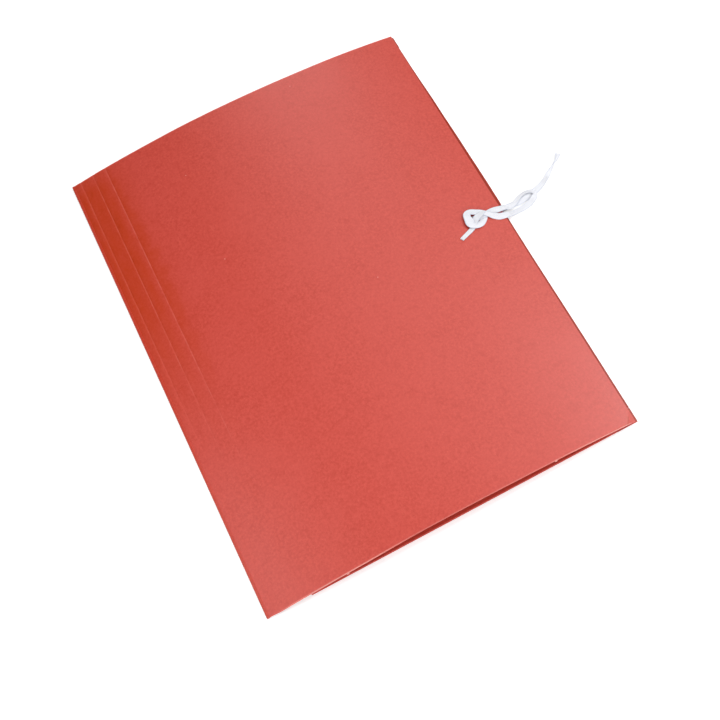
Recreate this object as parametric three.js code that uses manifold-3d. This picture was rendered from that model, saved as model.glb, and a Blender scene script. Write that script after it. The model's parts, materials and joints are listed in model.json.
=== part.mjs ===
import * as THREE from 'three';
import { mergeVertices } from 'three/addons/utils/BufferGeometryUtils.js';
import Module from 'manifold-3d';

// A three flap folder of red board, closed and lying on its back cover.
// Millimetres, +Z up. X runs from the spine to the fore-edge, Y from the bottom edge to the top edge.
// The origin is on the table, under the middle of the back cover.

// Board
const folderWidth = 240;
const folderLength = 320;
const boardThickness = 0.6;
const foldGap = 0.3;
const creaseGap = 0.3;

// Spine strips between the score lines, and the arch of the front cover
const stripWidths = [6.2, 9.5, 9.5];
const stripSlopes = [14, 11.5, 9];
const coverStartSlope = 8;
const coverEndHeight = 2.7;
const coverSideInset = 0.8;
const coverEndInset = 0.5;
const archSegments = 28;

// Top and bottom flaps, hinged on the long creases of the back cover's ends
const endFlapStart = 28;
const endFlapStop = 14;
const endFlapDepth = 70;
const endFlapSpineSlant = 30;
const endFlapForeSlant = 40;
const endFlapTipRadius = 9;
const endFlapLift = 2;

// Side flap, hinged on the fore-edge of the back cover
const sideFlapEndInset = 10;
const sideFlapDepth = 95;
const sideFlapSlant = 12;
const sideFlapTipRadius = 10;
const sideFlapLift = 6;

// Cotton tape and the slots and patches that hold it
const tapeWidth = 3.6;
const tapeThickness = 0.5;
const tapeGap = 0.3;
const tapeSpacing = 4;
const slotClearance = 0.5;
const frontSlotFromForeEdge = 20;
const tapeY = 3.5;
const innerEndLength = 13;
const patchLength = 20;
const patchWidth = 14;
const patchThickness = 0.3;
const patchGap = 0.2;
const backPatchFromForeEdge = 24;
const sideNotchDepth = 8;

// Knot on the front cover: a flat loop of tape and the wrap round its neck
const knotLoopRadius = 4.2;
const knotLoopThickness = 3;
const knotWrapRadius = 1.8;
const knotWrapThickness = 2.2;
const knotWrapOffset = 6.4;

const boardColour = 0xd45a54;
const tapeColour = 0xf2f2f4;
const paperColour = 0xe9e4da;
const foldRadius = boardThickness + foldGap / 2;
const foldInset = 2 * foldRadius + creaseGap;
const panelRoot = foldRadius + creaseGap;
const layerOffset = (foldGap + boardThickness) / 2;
const halfWidth = folderWidth / 2;
const halfLength = folderLength / 2;

const wasm = await Module();
wasm.setup();

const folder = new THREE.Group();

function material(colour, roughness) {
  return new THREE.MeshStandardMaterial({ color: colour, roughness, metalness: 0 });
}

function addMesh(parent, name, geometry, colour = boardColour, roughness = 0.85) {
  const mesh = new THREE.Mesh(geometry, material(colour, roughness));
  mesh.name = name;
  parent.add(mesh);
  return mesh;
}

// Booleans on closed meshes
function toSolid(geometry) {
  const bare = geometry.clone();
  bare.deleteAttribute('normal');
  bare.deleteAttribute('uv');
  const merged = mergeVertices(bare, 1e-5);
  return new wasm.Manifold(new wasm.Mesh({
    numProp: 3,
    vertProperties: new Float32Array(merged.attributes.position.array),
    triVerts: new Uint32Array(merged.index.array),
  }));
}

function toGeometry(solid) {
  const mesh = solid.getMesh();
  const geometry = new THREE.BufferGeometry();
  geometry.setAttribute('position', new THREE.BufferAttribute(new Float32Array(mesh.vertProperties), 3));
  geometry.setIndex(new THREE.BufferAttribute(new Uint32Array(mesh.triVerts), 1));
  geometry.computeVertexNormals();
  return geometry;
}

function boxAt(sizeX, sizeY, sizeZ, x, y, z) {
  const box = new THREE.BoxGeometry(sizeX, sizeY, sizeZ);
  box.translate(x, y, z);
  return box;
}

// A closed outline whose corners are rounded by the radius given with each point
function roundedOutline(corners) {
  const shape = new THREE.Shape();
  corners.forEach(([x, y, radius], index) => {
    const corner = new THREE.Vector2(x, y);
    const before = corners[(index + corners.length - 1) % corners.length];
    const after = corners[(index + 1) % corners.length];
    const entry = new THREE.Vector2(before[0] - x, before[1] - y).setLength(radius).add(corner);
    const exit = new THREE.Vector2(after[0] - x, after[1] - y).setLength(radius).add(corner);
    if (index === 0) {
      shape.moveTo(entry.x, entry.y);
    } else {
      shape.lineTo(entry.x, entry.y);
    }
    if (radius > 0) {
      shape.quadraticCurveTo(corner.x, corner.y, exit.x, exit.y);
    }
  });
  shape.closePath();
  return shape;
}

function plate(outline, thickness, bottom) {
  const geometry = new THREE.ExtrudeGeometry(outline, { depth: thickness, bevelEnabled: false, curveSegments: 6 });
  geometry.translate(0, 0, bottom);
  return geometry;
}

// Back cover
const backEdgeX = halfWidth - foldInset;
const backEdgeY = halfLength - foldInset;
addMesh(folder, 'back_cover', boxAt(2 * backEdgeX, 2 * backEdgeY, boardThickness, 0, 0, boardThickness / 2));

// Folds: the rounded crease along which a panel turns
function foldRod(length) {
  return new THREE.CylinderGeometry(foldRadius, foldRadius, length, 16);
}

const coverLength = folderLength - 2 * coverSideInset;
const spineFoldX = -halfWidth + foldRadius;
const sideFoldX = halfWidth - foldRadius;
const endFoldY = halfLength - foldRadius;
addMesh(folder, 'spine_fold', foldRod(coverLength)).position.set(spineFoldX, 0, foldRadius);

const endFoldStartX = -halfWidth + endFlapStart;
const endFoldStopX = halfWidth - endFlapStop;
for (const [name, side] of [['top', 1], ['bottom', -1]]) {
  const fold = addMesh(folder, `${name}_flap_fold`, foldRod(endFoldStopX - endFoldStartX));
  fold.rotation.z = Math.PI / 2;
  fold.position.set((endFoldStartX + endFoldStopX) / 2, side * endFoldY, foldRadius);
}

// The side fold has an open slot in its upper half, where the back tape comes out
const slotWidth = tapeWidth + 2 * slotClearance;
const sideRootHalf = halfLength - sideFlapEndInset;
const sideFoldSolid = toSolid(foldRod(2 * sideRootHalf)).subtract(toSolid(
  boxAt(4 * foldRadius, slotWidth, 2 * foldRadius, 0, tapeY, boardThickness),
));
addMesh(folder, 'side_flap_fold', toGeometry(sideFoldSolid)).position.set(sideFoldX, 0, foldRadius);

// Spine strips: each leaves the last one's score line with a flatter slope
function slopeVector(degrees) {
  const angle = THREE.MathUtils.degToRad(degrees);
  return new THREE.Vector2(Math.cos(angle), Math.sin(angle));
}

const firstDirection = slopeVector(stripSlopes[0]);
const scorePoints = [new THREE.Vector2(
  spineFoldX - firstDirection.y * layerOffset,
  foldRadius + firstDirection.x * layerOffset,
)];
stripWidths.forEach((width, index) => {
  const direction = slopeVector(stripSlopes[index]);
  const start = scorePoints[index];
  scorePoints.push(start.clone().addScaledVector(direction, width));
  const root = index === 0 ? panelRoot : creaseGap / 2;
  const length = width - root - creaseGap / 2;
  const middle = start.clone().addScaledVector(direction, root + length / 2);
  const strip = addMesh(folder, `spine_strip_${index + 1}`,
    new THREE.BoxGeometry(length, coverLength, boardThickness));
  strip.rotation.y = -THREE.MathUtils.degToRad(stripSlopes[index]);
  strip.position.set(middle.x, 0, middle.y);
});

// Front cover: an arc that leaves the last score line at its start slope and ends low at the fore-edge
const archStart = scorePoints[scorePoints.length - 1];
const archEnd = new THREE.Vector2(halfWidth - coverEndInset, coverEndHeight);
const chord = archEnd.clone().sub(archStart);
const halfTurn = THREE.MathUtils.degToRad(coverStartSlope) - chord.angle() + (chord.y < 0 ? 2 * Math.PI : 0);
const archRadius = chord.length() / (2 * Math.sin(halfTurn));
const startDirection = slopeVector(coverStartSlope);
const archCentre = new THREE.Vector2(
  archStart.x + startDirection.y * archRadius,
  archStart.y - startDirection.x * archRadius,
);

function archAt(x) {
  const run = x - archCentre.x;
  return { height: archCentre.y + Math.sqrt(archRadius ** 2 - run ** 2), slope: -Math.asin(run / archRadius) };
}

function coverSolid() {
  const startAngle = archStart.clone().sub(archCentre).angle() - creaseGap / 2 / archRadius;
  const endAngle = archEnd.clone().sub(archCentre).angle();
  const outer = archRadius + boardThickness / 2;
  const inner = archRadius - boardThickness / 2;
  const profile = new THREE.Shape();
  profile.absarc(archCentre.x, archCentre.y, outer, startAngle, endAngle, true);
  profile.absarc(archCentre.x, archCentre.y, inner, endAngle, startAngle, false);
  const sheet = new THREE.ExtrudeGeometry(profile, {
    depth: coverLength, bevelEnabled: false, curveSegments: archSegments,
  });
  sheet.rotateX(Math.PI / 2);
  sheet.translate(0, coverLength / 2, 0);
  return toSolid(sheet);
}

// Frame on the front cover at its tape slot: local z is square to the board, zero at mid-board
const frontSlotX = halfWidth - frontSlotFromForeEdge;
const onCover = new THREE.Group();
onCover.position.set(frontSlotX, tapeY, archAt(frontSlotX).height);
onCover.rotation.y = -archAt(frontSlotX).slope;
onCover.updateMatrix();
folder.add(onCover);

const slotLength = tapeThickness + 2 * slotClearance;
const slotCutter = boxAt(slotLength, slotWidth, 6 * boardThickness, 0, 0, 0);
slotCutter.applyMatrix4(onCover.matrix);
addMesh(folder, 'front_cover', toGeometry(coverSolid().subtract(toSolid(slotCutter))));

// Flaps: built flat on the axis of their fold, then lifted by their springback
const endSpineShift = endFlapDepth * Math.tan(THREE.MathUtils.degToRad(endFlapSpineSlant));
const endForeShift = endFlapDepth * Math.tan(THREE.MathUtils.degToRad(endFlapForeSlant));
for (const [name, side] of [['top', 1], ['bottom', -1]]) {
  const outline = roundedOutline([
    [endFoldStartX, -side * panelRoot, 0],
    [endFoldStopX, -side * panelRoot, 0],
    [endFoldStopX - endForeShift, -side * endFlapDepth, endFlapTipRadius],
    [endFoldStartX + endSpineShift, -side * endFlapDepth, endFlapTipRadius],
  ]);
  const flap = addMesh(folder, `${name}_flap`, plate(outline, boardThickness, foldGap / 2));
  flap.position.set(0, side * endFoldY, foldRadius);
  flap.rotation.x = -side * THREE.MathUtils.degToRad(endFlapLift);
}

const sideShift = sideFlapDepth * Math.tan(THREE.MathUtils.degToRad(sideFlapSlant));
const notchHalf = slotWidth / 2;
const sideFlap = addMesh(folder, 'side_flap', plate(roundedOutline([
  [-panelRoot, -sideRootHalf, 0],
  [-panelRoot, tapeY - notchHalf, 0],
  [-sideNotchDepth, tapeY - notchHalf, 1],
  [-sideNotchDepth, tapeY + notchHalf, 1],
  [-panelRoot, tapeY + notchHalf, 0],
  [-panelRoot, sideRootHalf, 0],
  [-sideFlapDepth, sideRootHalf - sideShift, sideFlapTipRadius],
  [-sideFlapDepth, -sideRootHalf + sideShift, sideFlapTipRadius],
]), boardThickness, foldGap / 2));
sideFlap.position.set(sideFoldX, 0, foldRadius);
sideFlap.rotation.y = THREE.MathUtils.degToRad(sideFlapLift);

// Tape: a flat section of eight sides swept along a smooth route that starts level
function tapeSection() {
  const halfWide = tapeWidth / 2;
  const halfThick = tapeThickness / 2;
  const bevelWide = halfWide * 0.72;
  const bevelThick = halfThick * 0.5;
  const quarter = [[halfThick, bevelWide], [bevelThick, halfWide]];
  const points = [];
  for (const [signX, signY, order] of [[1, 1, 1], [-1, 1, -1], [-1, -1, 1], [1, -1, -1]]) {
    const corner = order > 0 ? quarter : [...quarter].reverse();
    corner.forEach(([x, y]) => points.push(new THREE.Vector2(signX * x, signY * y)));
  }
  return new THREE.Shape(points);
}

function tape(name, route, steps) {
  const curve = new THREE.CatmullRomCurve3(route.map(([x, y, z]) => new THREE.Vector3(x, y, z)));
  const geometry = new THREE.ExtrudeGeometry(tapeSection(), { steps, extrudePath: curve, bevelEnabled: false });
  return addMesh(folder, name, geometry, tapeColour, 0.9);
}

const tapeRise = boardThickness / 2 + tapeGap + tapeThickness / 2;

function overCover(fromSpine, y) {
  const x = fromSpine - halfWidth;
  return [x, y, archAt(x).height + tapeRise];
}

function beyond(fromSpine, y, height) {
  return [fromSpine - halfWidth, y, height];
}

// Knot, on the cover over its slot
const knotBase = boardThickness / 2 + tapeGap;
const knotLoop = new THREE.TorusGeometry(knotLoopRadius, knotLoopThickness / 2, 10, 22);
knotLoop.translate(0, tapeY * 0.9, knotBase + knotLoopThickness / 2);
const knotWrap = new THREE.TorusGeometry(knotWrapRadius, knotWrapThickness / 2, 10, 14);
knotWrap.rotateY(Math.PI / 2);
knotWrap.translate(knotWrapOffset - knotLoopThickness / 2, 0.4, knotBase + knotWrapRadius + knotWrapThickness / 2);
addMesh(onCover, 'front_tape_knot', toGeometry(toSolid(knotLoop).add(toSolid(knotWrap))), tapeColour, 0.9);

// Inner end: up through the slot, and flat under the cover where the patch holds it
const underCover = -boardThickness / 2 - patchGap - tapeThickness / 2;
const stemTop = boardThickness / 2;
const stemBottom = underCover - tapeThickness / 2;
const stem = boxAt(tapeThickness, tapeWidth, stemTop - stemBottom, 0, 0, (stemTop + stemBottom) / 2);
const lie = boxAt(innerEndLength, tapeWidth, tapeThickness, -innerEndLength / 2, 0, underCover);
addMesh(onCover, 'front_tape_inner_end', toGeometry(toSolid(stem).add(toSolid(lie))), tapeColour, 0.9);
const frontPatchZ = underCover - tapeThickness / 2 - patchGap - patchThickness / 2;
addMesh(onCover, 'front_tape_patch',
  boxAt(patchLength, patchWidth, patchThickness, -innerEndLength / 2, 0, frontPatchZ), paperColour, 0.9);

// Short cut tail, and the two strands of the loop that goes over the fore-edge
tape('front_tape_tail', [overCover(215.8, 0.6), overCover(210.2, -2.2), overCover(204.3, -4.8)], 6);

const strandLow = 0.35;
const strandHigh = 1.15;
tape('front_tape_upper_strand', [
  overCover(228.6, 5.2), overCover(233, 4.3), overCover(239, 3.2), beyond(241.4, 3, 3.2), beyond(243, 3, 2.1),
  beyond(245.5, 3.4, strandHigh + 0.1), beyond(250.4, 4.4, strandHigh), beyond(256, 6, strandHigh),
  beyond(260.5, 6.4, strandHigh), beyond(265, 5.2, strandHigh),
], 20);
tape('front_tape_lower_strand', [
  overCover(228.6, 5.2 - tapeSpacing), overCover(233, 4.3 - tapeSpacing), overCover(239, 3 - tapeSpacing),
  beyond(241.4, -1.2, 3.1), beyond(243, -1.3, 2), beyond(245, -1.4, 0.8), beyond(248, -1.7, strandLow),
  beyond(252, -2.4, strandLow), beyond(256, -2.3, strandLow), beyond(259.6, -0.6, strandLow),
  beyond(262.4, 1.8, strandLow),
], 20);

// Back tape: fixed inside the back cover, out through the side fold, then free on the table
const backTapeInside = boardThickness + tapeGap + tapeThickness / 2;
tape('back_tape', [
  beyond(folderWidth - backPatchFromForeEdge - innerEndLength / 2, tapeY, backTapeInside),
  beyond(folderWidth - backPatchFromForeEdge + innerEndLength / 2, tapeY, backTapeInside),
  beyond(folderWidth - 4, tapeY, backTapeInside), beyond(folderWidth + 0.6, tapeY, backTapeInside - 0.05),
  beyond(243.4, 3.6, 0.6), beyond(246.5, 3.9, strandLow), beyond(252, 4.9, strandLow), beyond(258, 6, strandLow),
  beyond(265.6, 5.8, strandLow), beyond(273.7, 8, strandLow), beyond(279.9, 12, strandLow),
  beyond(284.6, 15.4, strandLow), beyond(287.6, 18, strandLow), beyond(291.2, 21.8, strandLow),
], 40);
const backPatchZ = backTapeInside + tapeThickness / 2 + patchGap + patchThickness / 2;
addMesh(folder, 'back_tape_patch',
  boxAt(patchLength, patchWidth, patchThickness, halfWidth - backPatchFromForeEdge, tapeY, backPatchZ),
  paperColour, 0.9);

export default folder;
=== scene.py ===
import json
import math
import random

import bmesh
import bpy
from mathutils import Matrix, Vector, noise

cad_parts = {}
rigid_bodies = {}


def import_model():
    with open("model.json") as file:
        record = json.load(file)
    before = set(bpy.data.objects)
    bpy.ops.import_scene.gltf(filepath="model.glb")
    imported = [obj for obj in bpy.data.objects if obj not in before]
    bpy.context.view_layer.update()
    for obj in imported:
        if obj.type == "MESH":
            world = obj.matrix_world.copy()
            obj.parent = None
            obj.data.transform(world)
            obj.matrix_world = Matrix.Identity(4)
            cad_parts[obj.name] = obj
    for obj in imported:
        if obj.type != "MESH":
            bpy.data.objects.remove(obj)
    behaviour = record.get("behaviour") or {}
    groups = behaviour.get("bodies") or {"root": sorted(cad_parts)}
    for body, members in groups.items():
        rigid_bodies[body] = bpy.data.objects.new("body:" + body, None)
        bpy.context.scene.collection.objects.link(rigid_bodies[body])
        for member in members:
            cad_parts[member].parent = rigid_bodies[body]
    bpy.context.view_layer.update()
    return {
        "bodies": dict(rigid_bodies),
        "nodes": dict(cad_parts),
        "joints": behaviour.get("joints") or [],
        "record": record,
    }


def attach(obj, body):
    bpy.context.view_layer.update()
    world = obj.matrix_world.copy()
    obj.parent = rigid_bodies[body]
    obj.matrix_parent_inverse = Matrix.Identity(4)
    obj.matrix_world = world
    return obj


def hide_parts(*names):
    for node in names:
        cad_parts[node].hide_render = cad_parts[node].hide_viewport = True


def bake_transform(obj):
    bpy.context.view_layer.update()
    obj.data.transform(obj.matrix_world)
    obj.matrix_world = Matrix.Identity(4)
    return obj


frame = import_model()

# A three flap folder of red board, closed and lying on its back cover.
# Lengths are written in millimetres and become metres through MM. X runs from the spine to the
# fore-edge, Y from the bottom edge to the top edge, and the table is at Z = 0.
MM = 0.001
UP = Vector((0, 0, 1))

# Board and folds
FOLDER_WIDTH = 240.0
FOLDER_LENGTH = 320.0
BOARD = 0.6
FOLD_RADIUS = 0.75
BEND_RADIUS = 0.45
PANEL_ROOT = 1.05
HALF_WIDTH = FOLDER_WIDTH / 2
HALF_LENGTH = FOLDER_LENGTH / 2
SPINE_X = -HALF_WIDTH + FOLD_RADIUS
SIDE_X = HALF_WIDTH - FOLD_RADIUS
END_Y = HALF_LENGTH - FOLD_RADIUS
BACK_X = 118.2
BACK_Y = 158.2
COVER_Y = 159.9

# Spine strips and the arch of the front cover
STRIP_WIDTHS = (6.2, 9.5, 9.5)
STRIP_SLOPES = (14.0, 11.5, 9.0)
COVER_START_SLOPE = 8.0
COVER_END_X = HALF_WIDTH - 0.5
COVER_END_HEIGHT = 2.7

# Score lines: the board dips into each one, steeply on its spine side and slowly on its fore side
SCORE_DIP = 0.13
DIP_REACH_FORE = 1.0
DIP_REACH_SPINE = 0.5
STRIP_SWELL = 0.08

# The die presses the board thin along its cut ends, where a pale painted highlight runs, and leaves two nicks in the
# bottom one
PRESS_REACH = 0.95
PRESS_DROP = 0.18
NICK_PLACES = (-68.5, 65.2)
NICK_HALF = 0.8
NICK_OUT = 0.55

# The cover has flattened a little beside the spine, and its bottom edge stands out there
SETTLED = 1.0
OVERHANG = 0.45

# Flaps
END_FLAP_START_X = -HALF_WIDTH + 28
END_FLAP_STOP_X = HALF_WIDTH - 14
END_FLAP_DEPTH = 70.0
END_FLAP_SPINE_SLANT = 30.0
END_FLAP_FORE_SLANT = 40.0
END_FLAP_TIP_RADIUS = 9.0
END_FLAP_LIFT = 2.0
SIDE_FLAP_HALF = HALF_LENGTH - 10
SIDE_FLAP_DEPTH = 95.0
SIDE_FLAP_SLANT = 12.0
SIDE_FLAP_TIP_RADIUS = 10.0
SIDE_FLAP_LIFT = 6.0

# Painted shade on the folds and the flap roots, and the depths on a flap between which that fades
END_FOLD_SHADE = 0.08
END_FLAP_SHADE = 0.1
END_FLAP_SHADE_FADE = (3.0, 8.0)
SIDE_FOLD_SHADE = 1.6
SIDE_FLAP_SHADE_FADE = (1.0, 3.5)

# Cotton tape, its slots and its glued patches
TAPE_WIDTH = 4.0
TAPE_THICKNESS = 0.45
TAPE_Y = 3.5
SLOT_X = HALF_WIDTH - 20
SLOT_HALF_LENGTH = 0.75
SLOT_HALF_WIDTH = 2.3
NOTCH_DEPTH = 8.0


def remap(value, low, high):
    """0 at low, 1 at high, smooth in between."""
    share = min(1.0, max(0.0, (value - low) / (high - low)))
    return share * share * (3 - 2 * share)


def slope_vector(degrees):
    angle = math.radians(degrees)
    return Vector((math.cos(angle), math.sin(angle)))


# The folder's section, seen from the bottom end: score points and the arc of the cover, at mid-board
def score_points():
    first = slope_vector(STRIP_SLOPES[0])
    points = [Vector((SPINE_X - first.y * BEND_RADIUS, FOLD_RADIUS + first.x * BEND_RADIUS))]
    for width, slope in zip(STRIP_WIDTHS, STRIP_SLOPES):
        points.append(points[-1] + slope_vector(slope) * width)
    return points


SCORES = score_points()
ARCH_START = SCORES[-1]
ARCH_END = Vector((COVER_END_X, COVER_END_HEIGHT))
ARCH_CHORD = ARCH_END - ARCH_START
ARCH_HALF_TURN = math.radians(COVER_START_SLOPE) - math.atan2(ARCH_CHORD.y, ARCH_CHORD.x)
ARCH_RADIUS = ARCH_CHORD.length / (2 * math.sin(ARCH_HALF_TURN))
ARCH_LENGTH = 2 * ARCH_HALF_TURN * ARCH_RADIUS
ARCH_CENTRE = Vector((
    ARCH_START.x + slope_vector(COVER_START_SLOPE).y * ARCH_RADIUS,
    ARCH_START.y - slope_vector(COVER_START_SLOPE).x * ARCH_RADIUS,
))


def arch_height(x):
    return ARCH_CENTRE.y + math.sqrt(ARCH_RADIUS**2 - (x - ARCH_CENTRE.x) ** 2)


def arch_normal(x):
    run = (x - ARCH_CENTRE.x) / ARCH_RADIUS
    return Vector((run, 0, math.sqrt(1 - run * run)))


# Camera
def make_camera():
    data = bpy.data.cameras.new("camera")
    data.lens = 57.06
    data.shift_x = -0.1
    data.shift_y = -0.05
    data.clip_start = 0.01
    data.clip_end = 20
    camera = bpy.data.objects.new("camera", data)
    camera.location = Vector((-46, -316, 643)) * MM
    camera.rotation_euler = [math.radians(a) for a in (23.6, 4.05, -27.57)]
    bpy.context.scene.collection.objects.link(camera)
    bpy.context.scene.camera = camera


# Material helpers
def new_material(name):
    material = bpy.data.materials.new(name)
    material.use_nodes = True
    tree = material.node_tree
    tree.nodes.clear()
    output = tree.nodes.new("ShaderNodeOutputMaterial")
    shader = tree.nodes.new("ShaderNodeBsdfPrincipled")
    tree.links.new(shader.outputs["BSDF"], output.inputs["Surface"])
    return material, tree, shader


def linear(red, green, blue):
    """A colour written as 0 to 255, for a colour socket."""
    def channel(value):
        share = value / 255
        return share / 12.92 if share <= 0.04045 else ((share + 0.055) / 1.055) ** 2.4
    return (channel(red), channel(green), channel(blue), 1)


def object_coordinates(tree, stretch=(1, 1, 1), turn=(0, 0, 0)):
    place = tree.nodes.new("ShaderNodeTexCoord")
    mapping = tree.nodes.new("ShaderNodeMapping")
    mapping.inputs["Scale"].default_value = stretch
    mapping.inputs["Rotation"].default_value = [math.radians(a) for a in turn]
    tree.links.new(place.outputs["Object"], mapping.inputs["Vector"])
    return mapping.outputs["Vector"]


def attribute(tree, name, output):
    node = tree.nodes.new("ShaderNodeAttribute")
    node.attribute_name = name
    return node.outputs[output]


def noise_texture(tree, vector, scale, detail=3.0, roughness=0.55):
    texture = tree.nodes.new("ShaderNodeTexNoise")
    texture.inputs["Scale"].default_value = scale
    texture.inputs["Detail"].default_value = detail
    texture.inputs["Roughness"].default_value = roughness
    tree.links.new(vector, texture.inputs["Vector"])
    return texture.outputs["Fac"]


def ramp(tree, value, low, high, from_value=0.0, to_value=1.0):
    """value between low and high becomes from_value to to_value, clamped."""
    node = tree.nodes.new("ShaderNodeMapRange")
    node.inputs["From Min"].default_value = low
    node.inputs["From Max"].default_value = high
    node.inputs["To Min"].default_value = from_value
    node.inputs["To Max"].default_value = to_value
    tree.links.new(value, node.inputs["Value"])
    return node.outputs["Result"]


def math_node(tree, operation, first, second):
    node = tree.nodes.new("ShaderNodeMath")
    node.operation = operation
    for socket, value in zip(node.inputs, (first, second)):
        if isinstance(value, (int, float)):
            socket.default_value = value
        else:
            tree.links.new(value, socket)
    return node.outputs["Value"]


def mix_colour(tree, share, first, second):
    node = tree.nodes.new("ShaderNodeMix")
    node.data_type = "RGBA"
    sockets = [s for s in node.inputs if s.enabled]
    for socket, value in zip(sockets, (share, first, second)):
        if isinstance(value, (int, float, tuple)):
            socket.default_value = value
        else:
            tree.links.new(value, socket)
    return [s for s in node.outputs if s.enabled][0]


def add_bump(tree, shader, height, distance, strength=1.0, normal=None):
    node = tree.nodes.new("ShaderNodeBump")
    node.inputs["Distance"].default_value = distance
    node.inputs["Strength"].default_value = strength
    tree.links.new(height, node.inputs["Height"])
    if normal is not None:
        tree.links.new(normal, node.inputs["Normal"])
    tree.links.new(node.outputs["Normal"], shader.inputs["Normal"])
    return node.outputs["Normal"]


# Red board: pressed paper pulp, coloured right through, with a matt face
def red_board(name, specular):
    material, tree, shader = new_material(name)
    flat = object_coordinates(tree)
    grain_one = object_coordinates(tree, stretch=(1, 0.2, 1), turn=(0, 0, 14))
    grain_two = object_coordinates(tree, stretch=(1, 0.22, 1), turn=(0, 0, -38))
    clouds = noise_texture(tree, flat, 34, detail=2)
    blotches = noise_texture(tree, flat, 210, detail=3, roughness=0.7)
    mottle = noise_texture(tree, flat, 620, detail=4, roughness=0.62)
    pulp = noise_texture(tree, flat, 2100, detail=3)
    fibres_one = noise_texture(tree, grain_one, 2600, detail=2)
    fibres_two = noise_texture(tree, grain_two, 2200, detail=2)
    base = mix_colour(tree, ramp(tree, mottle, 0.34, 0.66), linear(191, 60, 46), linear(206, 75, 61))
    base = mix_colour(tree, ramp(tree, clouds, 0.35, 0.65, 0, 0.4), base, linear(204, 74, 62))
    base = mix_colour(tree, ramp(tree, blotches, 0.45, 0.3, 0, 0.4), base, linear(184, 52, 38))
    base = mix_colour(tree, ramp(tree, fibres_one, 0.6, 0.72, 0, 0.4), base, linear(218, 98, 80))
    base = mix_colour(tree, ramp(tree, fibres_two, 0.32, 0.2, 0, 0.5), base, linear(160, 40, 28))
    specks = tree.nodes.new("ShaderNodeTexVoronoi")
    specks.inputs["Scale"].default_value = 38
    tree.links.new(flat, specks.inputs["Vector"])
    base = mix_colour(tree, ramp(tree, specks.outputs["Distance"], 0.014, 0.006, 0, 0.75), base,
                      linear(240, 190, 176))
    # Painted shade: this attribute darkens the board towards a deep orange red up to 1, and towards a dark brown red
    # from 1 to 2
    painted_shade = attribute(tree, "painted_shade", "Fac")
    painted_shade_amount = math_node(tree, "MULTIPLY", painted_shade, ramp(tree, mottle, 0.3, 0.6, 1.0, 0.8))
    base = mix_colour(tree, ramp(tree, painted_shade_amount, 0, 1), base, linear(188, 53, 4))
    base = mix_colour(tree, ramp(tree, painted_shade, 1, 2), base, linear(122, 18, 6))
    # Pale pink along the die-pressed edges and the scores: partly the board's wear, partly a painted highlight
    wear_and_highlight_share = math_node(tree, "MULTIPLY", attribute(tree, "wear_and_highlight", "Fac"), ramp(tree, pulp, 0.35, 0.6, 0.45, 1.0))
    base = mix_colour(tree, wear_and_highlight_share, base, linear(247, 176, 166))
    tree.links.new(base, shader.inputs["Base Color"])
    rough = ramp(tree, mottle, 0.25, 0.75, 0.35, 0.43)
    tree.links.new(rough, shader.inputs["Roughness"])
    shader.inputs["Specular IOR Level"].default_value = specular
    height = math_node(tree, "ADD", math_node(tree, "MULTIPLY", pulp, 0.5), mottle)
    height = math_node(tree, "ADD", height, math_node(tree, "MULTIPLY", fibres_one, 0.5))
    height = math_node(tree, "ADD", height, math_node(tree, "MULTIPLY", fibres_two, 0.4))
    add_bump(tree, shader, height, 0.00003)
    return material


# The board's cut edge: the same pulp, paler and fuzzy where the knife has torn it
def cut_edge():
    material, tree, shader = new_material("board_cut_edge")
    layers = object_coordinates(tree, stretch=(0.15, 0.15, 1))
    fuzz = noise_texture(tree, object_coordinates(tree), 3200, detail=2)
    ply = noise_texture(tree, layers, 5200, detail=2)
    base = mix_colour(tree, ramp(tree, ply, 0.3, 0.7), linear(214, 96, 84), linear(240, 150, 142))
    base = mix_colour(tree, ramp(tree, fuzz, 0.55, 0.75, 0, 0.5), base, linear(246, 190, 184))
    tree.links.new(base, shader.inputs["Base Color"])
    shader.inputs["Roughness"].default_value = 0.85
    add_bump(tree, shader, fuzz, 0.00006)
    return material


# White cotton tape: a plain weave that follows the tape through its "weave" attribute
# (x across the tape and y along it, in metres, and z from 0 in its middle to 1 at its selvedges)
WARP_PITCH = 0.27 * MM
WEFT_PITCH = 0.36 * MM


def cotton_tape():
    material, tree, shader = new_material("cotton_tape")
    weave = attribute(tree, "weave", "Vector")
    split = tree.nodes.new("ShaderNodeSeparateXYZ")
    tree.links.new(weave, split.inputs["Vector"])
    wobble = noise_texture(tree, object_coordinates(tree), 900, detail=2)
    across = math_node(tree, "ADD", split.outputs["X"], math_node(tree, "MULTIPLY", wobble, 0.12 * MM))
    along = math_node(tree, "ADD", split.outputs["Y"], math_node(tree, "MULTIPLY", wobble, 0.15 * MM))
    warp = math_node(tree, "SINE", math_node(tree, "MULTIPLY", across, 2 * math.pi / WARP_PITCH), 0)
    weft = math_node(tree, "SINE", math_node(tree, "MULTIPLY", along, 2 * math.pi / WEFT_PITCH), 0)
    crossing = math_node(tree, "MULTIPLY", warp, weft)
    crossing = ramp(tree, crossing, -1, 1)
    fuzz = noise_texture(tree, object_coordinates(tree), 4200, detail=3)
    # Painted shade in the weave: its hollows are darker than its crossings
    base = mix_colour(tree, ramp(tree, crossing, 0.1, 0.9), linear(230, 233, 244), linear(252, 252, 254))
    base = mix_colour(tree, ramp(tree, fuzz, 0.35, 0.25, 0, 0.5), base, linear(214, 219, 234))
    # Painted shade along the selvedges, a bluish grey
    base = mix_colour(tree, ramp(tree, split.outputs["Z"], 0.8, 1.0, 0, 0.75), base, linear(186, 194, 216))
    tree.links.new(base, shader.inputs["Base Color"])
    shader.inputs["Roughness"].default_value = 0.9
    shader.inputs["Sheen Weight"].default_value = 0.25
    shader.inputs["Sheen Roughness"].default_value = 0.5
    height = math_node(tree, "ADD", crossing, math_node(tree, "MULTIPLY", fuzz, 0.9))
    add_bump(tree, shader, height, 0.00008)
    return material


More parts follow.
